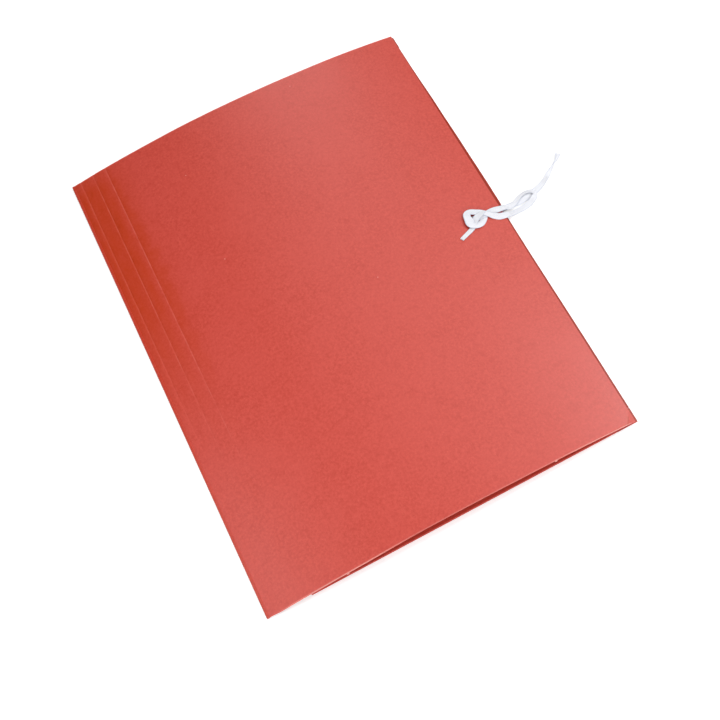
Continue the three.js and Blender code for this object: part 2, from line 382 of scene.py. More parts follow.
# Glued paper patch: off-white, with faint fibres
def patch_paper():
    material, tree, shader = new_material("patch_paper")
    flat = object_coordinates(tree)
    streaks = noise_texture(tree, object_coordinates(tree, stretch=(0.25, 1, 1), turn=(0, 0, 25)), 2400)
    blotch = noise_texture(tree, flat, 260, detail=4)
    base = mix_colour(tree, ramp(tree, blotch, 0.3, 0.7), linear(228, 221, 207), linear(241, 237, 228))
    base = mix_colour(tree, ramp(tree, streaks, 0.64, 0.72, 0, 0.5), base, linear(204, 192, 170))
    tree.links.new(base, shader.inputs["Base Color"])
    shader.inputs["Roughness"].default_value = 0.8
    add_bump(tree, shader, math_node(tree, "ADD", streaks, blotch), 0.00004)
    return material


RED_BOARD = red_board("red_board", 0.5)
FOLD_BOARD = red_board("red_board_fold", 0.3)
CUT_EDGE = cut_edge()
COTTON_TAPE = cotton_tape()
PATCH_PAPER = patch_paper()


def finish_mesh(name, bm, materials, sharp_angle=35.0):
    bmesh.ops.recalc_face_normals(bm, faces=bm.faces)
    mesh = bpy.data.meshes.new(name)
    bm.to_mesh(mesh)
    bm.free()
    mesh.shade_smooth()
    mesh.set_sharp_from_angle(angle=math.radians(sharp_angle))
    for material in materials:
        mesh.materials.append(material)
    obj = bpy.data.objects.new(name, mesh)
    bpy.context.scene.collection.objects.link(obj)
    return obj


# Tape: a flat woven band swept along a route. A station is its centre, the direction that its face
# looks in, and its width and thickness there.
class Station:
    def __init__(self, centre, face=UP, width=TAPE_WIDTH, thickness=TAPE_THICKNESS):
        self.centre = Vector(centre) * MM
        self.face = Vector(face).normalized()
        self.width = width * MM
        self.thickness = thickness * MM


def catmull(before, start, end, after, share):
    square, cube = share * share, share**3
    return 0.5 * (
        2 * start
        + (end - before) * share
        + (2 * before - 5 * start + 4 * end - after) * square
        + (3 * start - before - 3 * end + after) * cube
    )


def spread_stations(stations, steps):
    """The stations with steps smooth ones in each gap."""
    found = []
    last = len(stations) - 1
    for index in range(last):
        four = [stations[min(last, max(0, index + k))] for k in (-1, 0, 1, 2)]
        for step in range(steps + (index == last - 1)):
            share = step / steps
            station = Station((0, 0, 0))
            station.centre = catmull(*[s.centre for s in four], share)
            station.face = four[1].face.lerp(four[2].face, share * share * (3 - 2 * share))
            station.width = catmull(*[s.width for s in four], share)
            station.thickness = catmull(*[s.thickness for s in four], share)
            found.append(station)
    return found


def station_frame(stations, index):
    last = len(stations) - 1
    tangent = stations[min(last, index + 1)].centre - stations[max(0, index - 1)].centre
    tangent.normalize()
    face = stations[index].face
    face = (face - tangent * face.dot(tangent)).normalized()
    side = tangent.cross(face)
    frame = Matrix((side, face, tangent)).transposed().to_4x4()
    frame.translation = stations[index].centre
    return frame


THREADS_AT_END = 26
SECTION_POINTS = 20
SECTION_SQUARENESS = 0.55


def fray(bm, weave, end, station, way, seed, splay):
    """Warp threads that stand out of the cut end. way is -1 at the first ring and 1 at the last, and
    splay is how far they stand out and apart, 1 for a worn end."""
    draw = random.Random(seed + way)
    for _ in range(THREADS_AT_END):
        across = draw.uniform(-0.47, 0.47)
        length = draw.uniform(0.35, 1.5) * splay * MM
        lean = Matrix.Rotation((across * 0.9 + draw.gauss(0, 0.22)) * splay, 4, "Y")
        nod = Matrix.Rotation(draw.gauss(0, 0.16), 4, "X")
        root = Matrix.Translation((across * station.width, draw.uniform(-0.25, 0.25) * station.thickness, 0))
        turn = Matrix.Rotation(math.pi if way < 0 else 0, 4, "X")
        place = end @ root @ turn @ lean @ nod @ Matrix.Translation((0, 0, length / 2 - 0.1 * MM))
        thread = bmesh.ops.create_cone(bm, segments=5, radius1=0.075 * MM, radius2=0.02 * MM, depth=length,
                                       cap_ends=True, matrix=place)["verts"]
        for vertex in thread:
            vertex[weave] = Vector((across * station.width, vertex.co.length, 0))


def tape_mesh(name, stations, steps, crease=0.06, seed=0.0, splay=1.0):
    """The tape's mesh, and the middle of each of its rings."""
    rings = spread_stations(stations, steps)
    bm = bmesh.new()
    weave = bm.verts.layers.float_vector.new("weave")
    ring = bmesh.ops.create_circle(bm, segments=SECTION_POINTS, radius=1, cap_ends=False)["verts"]
    shape = []
    for vertex in ring:
        across, out = vertex.co.x, vertex.co.y
        shape.append((
            math.copysign(abs(across) ** SECTION_SQUARENESS, across) / 2,
            math.copysign(abs(out) ** SECTION_SQUARENESS, out) / 2,
        ))
    edges = list(bm.edges)
    first_edges = list(edges)
    along = 0.0
    for index, station in enumerate(rings):
        if index:
            along += (station.centre - rings[index - 1].centre).length
            grown = bmesh.ops.extrude_edge_only(bm, edges=edges)["geom"]
            new = {v for v in grown if isinstance(v, bmesh.types.BMVert)}
            follow = {}
            for vertex in ring:
                follow[vertex] = next(e.other_vert(vertex) for e in vertex.link_edges if e.other_vert(vertex) in new)
            ring = [follow[v] for v in ring]
            edges = [bm.edges.get((ring[k], ring[(k + 1) % len(ring)])) for k in range(len(ring))]
        frame_here = station_frame(rings, index)
        for vertex, (across, out) in zip(ring, shape):
            ripple = noise.noise(Vector((across * 3, along / (2.6 * MM), seed)))
            lift = out * station.thickness + crease * MM * ripple
            vertex.co = frame_here @ Vector((across * station.width, lift, 0))
            vertex[weave] = Vector((across * station.width, along, 2 * abs(across)))
    bmesh.ops.contextual_create(bm, geom=first_edges)
    bmesh.ops.contextual_create(bm, geom=edges)
    for index in (0, len(rings) - 1):
        fray(bm, weave, station_frame(rings, index), rings[index], -1 if index == 0 else 1, seed, splay)
    obj = finish_mesh(name, bm, [COTTON_TAPE], sharp_angle=60)
    return obj, [r.centre for r in rings]


def over_cover(from_spine, y, rise, face=None, width=TAPE_WIDTH, thickness=TAPE_THICKNESS):
    """A station whose middle is that far above the cover's outer face."""
    x = from_spine - HALF_WIDTH
    centre = Vector((x, y, arch_height(x))) + arch_normal(x) * (BOARD / 2 + rise)
    return Station(centre, face or arch_normal(x), width, thickness)


def beyond(from_spine, y, height, face=UP, width=TAPE_WIDTH, thickness=TAPE_THICKNESS):
    return Station((from_spine - HALF_WIDTH, y, height), face, width, thickness)


STRAND_LOW = 0.35
UNDER_COVER = -BOARD - 0.2 - TAPE_THICKNESS / 2


def front_tape():
    towards_spine = (-1, 0, 0.15)
    inner_end = [
        over_cover(207.5, TAPE_Y, UNDER_COVER),
        over_cover(213, TAPE_Y, UNDER_COVER),
        over_cover(218.6, TAPE_Y, UNDER_COVER),
        over_cover(219.9, TAPE_Y, -0.55, towards_spine, 3.8),
        over_cover(220, TAPE_Y, -0.1, towards_spine, 3.8),
    ]
    upper = [
        over_cover(220.9, 3.4, 0.4, (-0.35, 0, 1), 3.8),
        over_cover(223.6, 2.7, 0.75, (0, -0.1, 1), 4.0),
        over_cover(226.4, 2.8, 0.85, (0, 0, 1), 3.8),
        over_cover(228.8, 3.4, 0.85, (0, 0.1, 1), 3.6),
        over_cover(231.6, 3.7, 0.7, (0, 0.1, 1), 4.2),
        over_cover(235.0, 3.4, 0.6, (0, 0, 1), 4.6),
        over_cover(238.8, 3.0, 0.6, (0.2, 0.15, 1), 4.6),
        beyond(241.3, 2.8, 3.3, (0.6, 0.25, 1), 4.5),
        beyond(243.2, 2.6, 2.3, (0.55, 0.1, 1), 4.3),
        beyond(245.7, 2.3, 1.5, (0.2, -0.1, 1), 4.0),
        beyond(248.6, 2.9, 1.3, (0, 0.1, 1), 3.6),
        beyond(251.8, 4.5, 1.2, (-0.1, 0.2, 1), 3.4),
        beyond(255.0, 6.0, 1.25, (-0.1, 0.35, 1), 3.1),
        beyond(258.6, 6.7, 1.3, (0, 0.4, 1), 3.0),
        beyond(262.0, 6.0, 1.3, (0.2, 0.3, 1), 3.1),
    ]
    bight = [
        beyond(264.0, 4.3, 1.2, (0.3, 0.1, 1), 3.3),
        beyond(263.8, 2.2, 1.1, (0.3, -0.2, 1), 3.6),
    ]
    lower = [
        beyond(261.3, 0.3, 1.0, (0.1, -0.3, 1), 4.0),
        beyond(257.4, -1.5, 0.8, (0, -0.2, 1), 4.1),
        beyond(253.0, -2.3, 0.6, (0, -0.1, 1), 4.0),
        beyond(248.6, -2.4, 0.65, (0.15, 0.1, 1), 4.0),
        beyond(245.3, -2.6, 1.1, (0.5, 0.2, 1), 4.0),
        beyond(243.1, -2.9, 2.1, (0.6, 0.1, 1), 4.1),
        beyond(241.4, -2.9, 3.15, (0.5, -0.1, 1), 4.3),
        over_cover(238.9, -2.6, 0.6, (0.2, -0.15, 1), 4.4),
        over_cover(235.4, -2.0, 0.65, (0, -0.2, 1), 4.5),
        over_cover(232.2, -0.2, 0.95, (0.1, -0.25, 1), 4.2),
        over_cover(229.8, 1.9, 1.3, (0.1, -0.1, 1), 3.8),
    ]
    knot = [
        over_cover(227.2, 4.1, 1.5, (0, 0.1, 1), 3.7),
        over_cover(225.0, 5.7, 1.5, (0, 0.15, 1), 4.0),
        over_cover(222.4, 7.0, 1.5, (0, 0.2, 1), 4.3),
        over_cover(219.6, 8.3, 1.6, (0, 0.25, 1), 4.6),
        over_cover(217.6, 8.2, 1.85, (0.05, 0.2, 1), 4.4),
        over_cover(216.4, 6.7, 2.1, (0.15, 0.05, 1), 4.9),
        over_cover(215.9, 4.6, 2.25, (0.2, 0, 1), 5.1),
        over_cover(215.9, 2.4, 2.2, (0.15, 0, 1), 6.2),
        over_cover(215.9, 0.3, 1.95, (0.05, -0.1, 1), 5.8),
        over_cover(216.5, -1.2, 1.7, (0, -0.2, 1), 4.0),
        over_cover(218.4, -2.1, 1.5, (0, -0.25, 1), 3.9),
        over_cover(220.4, -2.3, 1.25, (0, -0.3, 1), 3.9),
        over_cover(222.7, -1.7, 0.85, (0.1, -0.25, 1), 4.1),
        over_cover(225.1, -0.1, 0.42, (0.1, -0.1, 1), 3.8),
        over_cover(226.8, 1.6, 0.28, (0, 0, 1), 3.4),
        over_cover(227.7, 3.2, 0.28, (0, 0.1, 1), 3.1),
        over_cover(227.9, 4.6, 0.6, (0, 0.8, 1), 2.8),
        over_cover(227.5, 5.2, 1.3, (0, 1.5, 0.7), 2.8),
        over_cover(226.8, 4.8, 2.0, (0, 0.4, 1), 3.1),
        over_cover(225.2, 4.0, 2.3, (-0.1, 0.15, 1), 3.8),
        over_cover(222.9, 3.1, 2.6, (-0.1, 0.1, 1), 4.5),
        over_cover(220.6, 1.9, 2.6, (-0.1, 0.1, 1), 4.7),
        over_cover(218.6, 0.1, 1.3, (-0.3, 0.2, 1), 4.2),
        over_cover(216.6, -1.8, 0.5, (0, 0, 1), 3.7),
        over_cover(214.0, -3.4, 0.33, (0, 0, 1), 3.2),
        over_cover(210.0, -5.1, 0.4, (0, 0.1, 1), 3.0),
        over_cover(205.9, -6.8, 0.5, (-0.1, 0.15, 1), 3.0),
    ]
    tape, middle = tape_mesh("front_tape", inner_end + upper + bight + lower + knot, 7, seed=1.7, splay=0.4)
    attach(tape, "front_cover")
    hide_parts("front_tape_knot", "front_tape_inner_end", "front_tape_tail",
                "front_tape_upper_strand", "front_tape_lower_strand")
    return tape


def back_tape():
    inside = BOARD + 0.3 + 0.25
    stations = [
        beyond(209.5, TAPE_Y, inside),
        beyond(216, TAPE_Y, inside),
        beyond(222.5, TAPE_Y, inside),
        beyond(230, TAPE_Y, inside),
        beyond(236, TAPE_Y, inside),
        beyond(240.6, 3.5, 1.1, (0.1, 0, 1)),
        beyond(243.4, 3.5, 0.5, (0.1, 0, 1)),
        beyond(247.2, 3.3, STRAND_LOW),
        beyond(251.6, 2.7, STRAND_LOW + 0.05),
        beyond(256.6, 3.2, STRAND_LOW + 0.15, (0, -0.1, 1)),
        beyond(261.4, 4.2, STRAND_LOW + 0.25, (0, -0.15, 1)),
        beyond(266, 5.0, STRAND_LOW + 0.35, (0.1, -0.2, 1)),
        beyond(270.6, 6.6, STRAND_LOW + 0.3, (0.1, -0.1, 1), 3.8),
        beyond(275.4, 9.1, 0.85, (0.1, 0.3, 1), 3.5),
        beyond(279.6, 12.0, 1.05, (0.5, -0.2, 1), 3.1),
        beyond(283.6, 14.6, 1.3, (0.9, -0.7, 0.7), 2.6),
        beyond(287.0, 17.0, 1.4, (1, -1, 0.25), 2.5),
        beyond(289.6, 19.2, 1.25, (0.5, -0.5, 0.8), 2.9),
        beyond(291.8, 21.6, 0.75, (0.1, -0.1, 1), 3.6),
    ]
    tape, middle = tape_mesh("back_tape_band", stations, 7, seed=6.1)
    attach(tape, "back_cover")
    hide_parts("back_tape")
    return tape


# Board: a grid bent to its place at mid-board, then given its thickness
def board_sheet(name, columns, rows, place, rim, slots=(), wear_and_highlight=None, painted_shade=None, cuts=(), board=RED_BOARD,
                faces_in=False):
    """columns and rows are the distances at which the sheet has its lines. place gives the mid-board
    point and wear_and_highlight how pale the board is there, from 0 to 1, for pressed edges and a painted
    highlight. painted_shade is painted shade: to 1 for light shade, and to 2 for deeper shade."""
    bm = bmesh.new()
    marks = [(bm.verts.layers.float.new(mark), level) for mark, level in (("wear_and_highlight", wear_and_highlight), ("painted_shade", painted_shade)) if level]
    bmesh.ops.create_grid(bm, x_segments=len(columns) - 1, y_segments=len(rows) - 1, size=0.5)
    for vertex in bm.verts:
        column = round((vertex.co.x + 0.5) * (len(columns) - 1))
        row = round((vertex.co.y + 0.5) * (len(rows) - 1))
        vertex.co = Vector((columns[column], rows[row], 0))
    for low_x, high_x, low_y, high_y in slots:
        for co, normal in (((low_x, 0, 0), (1, 0, 0)), ((high_x, 0, 0), (1, 0, 0)),
                           ((0, low_y, 0), (0, 1, 0)), ((0, high_y, 0), (0, 1, 0))):
            whole = list(bm.verts) + list(bm.edges) + list(bm.faces)
            bmesh.ops.bisect_plane(bm, geom=whole, dist=1e-6, plane_co=co, plane_no=normal)
        inside = [f for f in bm.faces if low_x < f.calc_center_median().x < high_x
                  and low_y < f.calc_center_median().y < high_y]
        bmesh.ops.delete(bm, geom=inside, context="FACES")
    for middle, across, reach in cuts:
        near = [f for f in bm.faces if (f.calc_center_median() - middle).length < reach]
        near += list({e for f in near for e in f.edges}) + list({v for f in near for v in f.verts})
        bmesh.ops.bisect_plane(bm, geom=near, dist=1e-6, plane_co=middle, plane_no=across)
    for vertex in bm.verts:
        column, row = vertex.co.x, vertex.co.y
        vertex.co = place(column, row) * MM
        for layer, level in marks:
            vertex[layer] = level(column, row)
    if faces_in:
        bmesh.ops.reverse_faces(bm, faces=bm.faces)
    thicken(bm)
    for face in bm.faces:
        face.material_index = 1 if rim(face) else 0
    return finish_mesh(name, bm, [board, CUT_EDGE])


def thicken(bm, thickness=BOARD):
    """Half the thickness on each side of the middle sheet. Only the outside gets the painted shade."""
    outside = set(bm.verts)
    bm.normal_update()
    for vertex, normal in [(v, v.normal.copy()) for v in bm.verts]:
        vertex.co += normal * (thickness / 2 * MM)
    bmesh.ops.solidify(bm, geom=list(bm.faces), thickness=thickness * MM)
    bm.normal_update()
    painted_shade_amount = bm.verts.layers.float.get("painted_shade")
    if painted_shade_amount:
        for vertex in set(bm.verts) - outside:
            vertex[painted_shade_amount] = 0


def stops(start, end, fine_start=(), fine_end=(), coarse=2.0):
    """Distances from start to end: the fine ones in from each end, and coarse steps between."""
    low = start + max(fine_start, default=0)
    high = end - max(fine_end, default=0)
    count = max(1, round((high - low) / coarse))
    found = {low + (high - low) * k / count for k in range(count + 1)}
    found.update(start + f for f in fine_start)
    found.update(end - f for f in fine_end)
    return sorted(found)


SCORE_STEPS = [0.12 * k for k in range(10)] + [1.3, 1.7, 2.2, 2.8]
EDGE_STEPS = [0, 0.12, 0.3, 0.55, 0.85, 1.2, 1.6]
LONG_ROWS = stops(-COVER_Y, COVER_Y, EDGE_STEPS, EDGE_STEPS)


def settle(distance, reach):
    """0 in the score and 1 well away from it."""
    return 1 - math.exp(-((max(0.0, distance) / reach) ** 1.5))


def score_strength(y):
    """The scores are pressed hardest at the top end and fade towards the bottom end."""
    return 0.25 + 0.75 * remap(y, -170, 90)


def score_highlight(score, distance, y):
    """The painted highlight along a score: a pale broken line, a little on its spine side. distance is counted to the
    fore-edge.
    """
    patchy = 0.7 + 1.5 * noise.noise(Vector((score * 7, y / 6, 7.7)))
    return SCORE_HIGHLIGHT[score] * max(0.0, patchy) * remap(y, -150, 60) * math.exp(-(((distance + 0.25) / 0.24) ** 2))


def spine_painted_shade(x, y):
    """Painted shade on the top half of the spine strips, in blotches."""
    blotch = noise.noise(Vector((x / 5, y / 11, 2.3))) + 0.6 * noise.noise(Vector((x / 1.7, y / 3.5, 5.9)))
    top_end = 1 - 0.4 * remap(y, 147, 158)
    return 0.95 * remap(y, -75, 85) * (1 + 0.2 * blotch) * top_end


def settled(x):
    """How far the board has sunk below its arc there."""
    from_spine = x + HALF_WIDTH
    share = remap(from_spine, -6, 12) * (1 - 0.5 * remap(from_spine, 50, 88))
    return SETTLED * share * (1 - remap(from_spine, 160, 205))


def edge_drawn_in(y):
    """The fore-edge lies a little inside the fold, more below the tape than above it."""
    return 0.3 + 0.4 * remap(-y, -12, 40)


def overhang(x, y):
    from_spine = x + HALF_WIDTH
    return OVERHANG * remap(from_spine, 2, 10) * (1 - remap(from_spine, 62, 105)) * remap(-y, 100, 160)


def press_and_highlight(x, y):
    """How hard the die has pressed the board there, from 0 to 1: most near both ends of the bottom edge. The board
    sinks by it there, and it also sets the pale painted highlight along the edge.
    """
    near = remap(abs(y), COVER_Y - PRESS_REACH, COVER_Y)
    if y > 0:
        return near * 0.25
    from_spine = x + HALF_WIDTH
    middle = remap(from_spine, 60, 100) * remap(-from_spine, -215, -175)
    return near * (1 - 0.75 * middle) * remap(from_spine, 2, 16) * remap(-from_spine, -239, -233)


def is_level_rim(face):
    return abs(face.normal.z) < 0.5


# The part of the painted shade that is gone at each strip's far score, and how bright each score's painted highlight
# line is
SCORE_SHADE_FADE = (0.1, 0.2, 0.45)
SCORE_HIGHLIGHT = (0.035, 0.085, 0.1)


def spine_strip(number):
    width = STRIP_WIDTHS[number]
    direction = slope_vector(STRIP_SLOPES[number])
    normal = Vector((-direction.y, direction.x))
    start = PANEL_ROOT if number == 0 else 0.0

    def place(along, y):
        rise = settle(along, DIP_REACH_FORE) if number else remap(along, start, start + 3)
        share = (along - start) / (width - start)
        proud = SCORE_DIP * rise * settle(width - along, DIP_REACH_SPINE) + STRIP_SWELL * 4 * share * (1 - share)
        spot = SCORES[number] + direction * along + normal * proud * score_strength(y)
        height = spot.y - settled(spot.x) - PRESS_DROP * press_and_highlight(spot.x, y)
        return Vector((spot.x, y - overhang(spot.x, y), height))

    def wear_and_highlight(along, y):
        lines = score_highlight(number, along - width, y) + (score_highlight(number - 1, along, y) if number else 0)
        return max(lines, press_and_highlight(SCORES[number].x + along, y))

    # Painted shade on the strip, less towards its far score
    def painted_shade(along, y):
        return spine_painted_shade(SCORES[number].x + along, y) * (1 - SCORE_SHADE_FADE[number] * remap(along, width * 0.35, width))

    columns = stops(start, width, SCORE_STEPS if number else (), SCORE_STEPS, 0.6)
    strip = board_sheet(f"spine_strip_{number + 1}_board", columns, LONG_ROWS, place, is_level_rim, (), wear_and_highlight, painted_shade)
    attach(strip, f"spine_strip_{number + 1}")
    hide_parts(f"spine_strip_{number + 1}")


CORNER_CREASE = Vector((COVER_END_X - 4.2, -COVER_Y + 2.5))
CORNER_CREASE_OUT = Vector((0.8, -0.6))


def arch_run(x):
    """How far along the arch x lies, from the third score."""
    return ARCH_RADIUS * (math.radians(90 + COVER_START_SLOPE) - math.acos((x - ARCH_CENTRE.x) / ARCH_RADIUS))


def arch_x(along):
    """The x that lies that far along the arch from the third score."""
    return ARCH_CENTRE.x + ARCH_RADIUS * math.cos(math.radians(90 + COVER_START_SLOPE) - along / ARCH_RADIUS)


def past_crease(x, y):
    """How far beyond the small crease across the bottom fore-edge corner."""
    return (Vector((x, y)) - CORNER_CREASE).dot(CORNER_CREASE_OUT)


def front_cover():
    def place(along, y):
        turn = math.radians(90 + COVER_START_SLOPE) - along / ARCH_RADIUS
        rise = SCORE_DIP * settle(along, DIP_REACH_FORE)
        radius = ARCH_RADIUS + rise * (1 - along / ARCH_LENGTH) * score_strength(y)
        radius += 0.12 * noise.noise(Vector((along / 70, y / 90, 3.1))) * remap(along, 0, 30)
        spot = ARCH_CENTRE + Vector((math.cos(turn), math.sin(turn))) * radius
        drop = settled(spot.x) + PRESS_DROP * press_and_highlight(spot.x, y) + 0.12 * max(0.0, past_crease(spot.x, y))
        spot.x -= edge_drawn_in(y) * remap(along, ARCH_LENGTH - 7, ARCH_LENGTH)
        out = overhang(spot.x, y)
        if y < -COVER_Y + 0.01 and any(abs(spot.x - nick) < NICK_HALF for nick in NICK_PLACES):
            out += NICK_OUT
        return Vector((spot.x, y - out, spot.y - drop))

    def wear_and_highlight(along, y):
        x = arch_x(along)
        nick = max(remap(-abs(x - n), -NICK_HALF - 0.2, -NICK_HALF) for n in NICK_PLACES)
        nick *= remap(-y, COVER_Y - 0.4, COVER_Y)
        return max(score_highlight(2, along, y), press_and_highlight(x, y), nick)

    # Painted shade: a dark band with a ragged fore side beside the third score, blotched like the strips, and a dark
    # line along the small crease across the bottom fore-edge corner
    def painted_shade(along, y):
        spot = Vector((arch_x(along), y)) - CORNER_CREASE
        crease = 1.7 * math.exp(-((spot.dot(CORNER_CREASE_OUT) / 0.22) ** 2)) * remap(-spot.length, -3.6, -2.4)
        ragged = 3 + 4 * remap(-y, -152, -95) + 5 * noise.noise(Vector((1.1, y / 8, 4.2)))
        ragged += 3 * noise.noise(Vector((along / 4, y / 3, 8.6)))
        beside = 0.45 * math.exp(-(along / 12) ** 2) + 0.4 * remap(-along, -ragged - 2, -ragged + 2)
        return max(spine_painted_shade(arch_x(along), y) * beside, crease)

    slot = (arch_run(SLOT_X - SLOT_HALF_LENGTH), arch_run(SLOT_X + SLOT_HALF_LENGTH),
            TAPE_Y - SLOT_HALF_WIDTH, TAPE_Y + SLOT_HALF_WIDTH)
    nick_columns = [arch_run(nick + side * reach) for nick in NICK_PLACES for side in (-1, 1)
                    for reach in (NICK_HALF - 0.1, NICK_HALF + 0.1)]
    columns = sorted(stops(0, ARCH_LENGTH, SCORE_STEPS, EDGE_STEPS[:3]) + nick_columns)
    crease_at = Vector((arch_run(CORNER_CREASE.x), CORNER_CREASE.y, 0))
    cuts = [(crease_at + CORNER_CREASE_OUT.to_3d() * reach, CORNER_CREASE_OUT.to_3d(), 14)
            for reach in (-0.45, -0.2, 0, 0.2, 0.45)]
    cover = board_sheet("front_cover_board", columns, LONG_ROWS, place, is_level_rim, [slot], wear_and_highlight, painted_shade, cuts)
    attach(cover, "front_cover")
    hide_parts("front_cover")


# A fold is a U of board round its crease, its lower leg at the back cover and its upper leg at the
# panel. outward points from the crease away from the folder.
def fold_band(name, node, crease, outward, along, lift, rows, bulge, rim, slots=(), painted_shade=None,
              board=RED_BOARD):
    outward, along = Vector(outward), Vector(along)
    lower_leg = FOLD_RADIUS + 0.3
    turn = math.pi - math.radians(lift)
    arc = BEND_RADIUS * turn
    columns = [-lower_leg, -lower_leg / 2] + [arc * k / 14 for k in range(15)] + [arc + PANEL_ROOT / 2, arc + PANEL_ROOT]

    def place(distance, run):
        angle = min(turn, max(0.0, distance / BEND_RADIUS))
        reach = BEND_RADIUS * math.sin(angle)
        height = FOLD_RADIUS - BEND_RADIUS * math.cos(angle)
        reach += bulge(run) * math.sin(angle) ** 1.5 if 0 < angle < math.pi else 0
        if distance < 0:
            reach += distance
        if distance > arc:
            reach += -(distance - arc) * math.cos(math.radians(lift))
            height += (distance - arc) * math.sin(math.radians(lift))
        return Vector(crease) + outward * reach + along * run + UP * height

    band = board_sheet(name, columns, rows, place, rim, slots, painted_shade=painted_shade, board=board, faces_in=True)
    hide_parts(node)
    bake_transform(band)
    return band


def rows_between(low, high, count):
    return [low + (high - low) * k / count for k in range(count + 1)]


# How far the side fold springs out beyond its crease, at places up the fore-edge
SIDE_SPRING = ((-150, 0.5), (-98, 0.6), (-30, 0.4), (-2, 0.5), (10, 1.65), (26, 1.7), (59, 1.45), (92, 1.05),
               (137, 0.3), (150, 0.2))


def side_bulge(run):
    for (low, low_out), (high, high_out) in zip(SIDE_SPRING, SIDE_SPRING[1:]):
        if run <= high:
            return low_out + (high_out - low_out) * remap(run, low, high)
    return SIDE_SPRING[-1][1]


def folds():
    # Painted shade on the outside of each fold: light on the spine fold, faint on the end folds and deep on the side
    # fold
    fold_band("spine_fold_board", "spine_fold", (SPINE_X, 0, 0), (-1, 0, 0), (0, -1, 0),
              STRIP_SLOPES[0], LONG_ROWS, lambda run: 0, lambda f: abs(f.normal.y) > 0.9,
              painted_shade=lambda distance, run: 0.5)
    for name, side in (("top", 1), ("bottom", -1)):
        middle = (END_FLAP_START_X + END_FLAP_STOP_X) / 2
        half = (END_FLAP_STOP_X - END_FLAP_START_X) / 2
        fold_band(f"{name}_flap_fold_board", f"{name}_flap_fold", (middle, side * END_Y, 0),
                  (0, side, 0), (-side, 0, 0), END_FLAP_LIFT, rows_between(-half, half, 96), lambda run: 0.0,
                  lambda f: abs(f.normal.x) > 0.9, painted_shade=lambda distance, run: END_FOLD_SHADE, board=FOLD_BOARD)
    rows = rows_between(-SIDE_FLAP_HALF, SIDE_FLAP_HALF, 150)
    fold_band("side_flap_fold_board", "side_flap_fold", (SIDE_X, 0, 0), (1, 0, 0), (0, 1, 0),
              SIDE_FLAP_LIFT, rows, side_bulge, lambda f: False,
              [(0.1, 5.0, TAPE_Y - SLOT_HALF_WIDTH, TAPE_Y + SLOT_HALF_WIDTH)], lambda distance, run: SIDE_FOLD_SHADE, FOLD_BOARD)


def back_cover():
    side_out = 2.35
    end_out = 1.7
    relief = 0.9
    columns = rows_between(-BACK_X, BACK_X, 60) + [END_FLAP_START_X, END_FLAP_START_X - 0.4,
                                                  END_FLAP_STOP_X, END_FLAP_STOP_X + 0.4]
    rows = rows_between(-BACK_Y, BACK_Y, 80) + [s * (SIDE_FLAP_HALF + g) for s in (-1, 1) for g in (0, 0.4)]

    def place(x, y):
        edge_x, edge_y = x, y
        if x > BACK_X - 0.01 and abs(y) > SIDE_FLAP_HALF + 0.2:
            edge_x += side_out
        if abs(y) > BACK_Y - 0.01:
            if x > END_FLAP_STOP_X + 0.2:
                edge_y += math.copysign(end_out, y)
            elif x < END_FLAP_START_X - 0.2:
                edge_y -= math.copysign(relief, y)
        return Vector((edge_x, edge_y, BOARD / 2))

    # Painted shade along the back cover's fore-edge, as deep as on the side fold
    def painted_shade(x, y):
        return SIDE_FOLD_SHADE if x > BACK_X - 0.01 else 0

    panel = board_sheet("back_cover_board", sorted(columns), sorted(rows), place, is_level_rim, painted_shade=painted_shade)
    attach(panel, "back_cover")
    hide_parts("back_cover")


# Flap: its outline with rounded corners, cut into strips along the fold so that it can curl
def flap(name, corners, tip_radius, tips, lift, curl, crease, inward, along, painted_shade, shade_fade):
    bm = bmesh.new()
    painted_shade_amount = bm.verts.layers.float.new("painted_shade")
    ring = [bm.verts.new(Vector((across, depth, 0))) for across, depth in corners]
    bm.faces.new(ring)
    bmesh.ops.bevel(bm, geom=[ring[k] for k in tips], offset=tip_radius * 0.7, segments=8, profile=0.5,
                    affect="VERTICES", material=-1)
    deepest = max(depth for across, depth in corners)
    low, high = shade_fade
    for cut in rows_between(low, high, 5) + rows_between(0, deepest, 24)[1:-1]:
        whole = list(bm.verts) + list(bm.edges) + list(bm.faces)
        bmesh.ops.bisect_plane(bm, geom=whole, dist=1e-6, plane_co=(0, cut, 0), plane_no=(0, 1, 0))
    bmesh.ops.triangulate(bm, faces=[f for f in bm.faces if len(f.verts) > 4])
    slope = math.radians(lift)
    for vertex in bm.verts:
        across, depth = vertex.co.x, vertex.co.y
        bow = curl * math.sin(math.pi * min(1.0, (depth - PANEL_ROOT) / (deepest - PANEL_ROOT)))
        # Painted shade near the fold, fading out between the two depths given
        vertex[painted_shade_amount] = painted_shade * (1 - remap(depth, low, high))
        rise = BEND_RADIUS * math.cos(slope) + depth * math.sin(slope) + bow
        reach = depth * math.cos(slope) - BEND_RADIUS * math.sin(slope)
        vertex.co = (Vector(crease) + Vector(inward) * reach + Vector(along) * across + UP * (FOLD_RADIUS + rise)) * MM
    bmesh.ops.recalc_face_normals(bm, faces=bm.faces)
    bm.normal_update()
    if next(iter(bm.faces)).normal.z < 0:
        bmesh.ops.reverse_faces(bm, faces=bm.faces)
    thicken(bm)
    for face in bm.faces:
        face.material_index = 1 if is_level_rim(face) else 0
    piece = finish_mesh(f"{name}_board", bm, [RED_BOARD, CUT_EDGE])
    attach(piece, name)
    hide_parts(name)


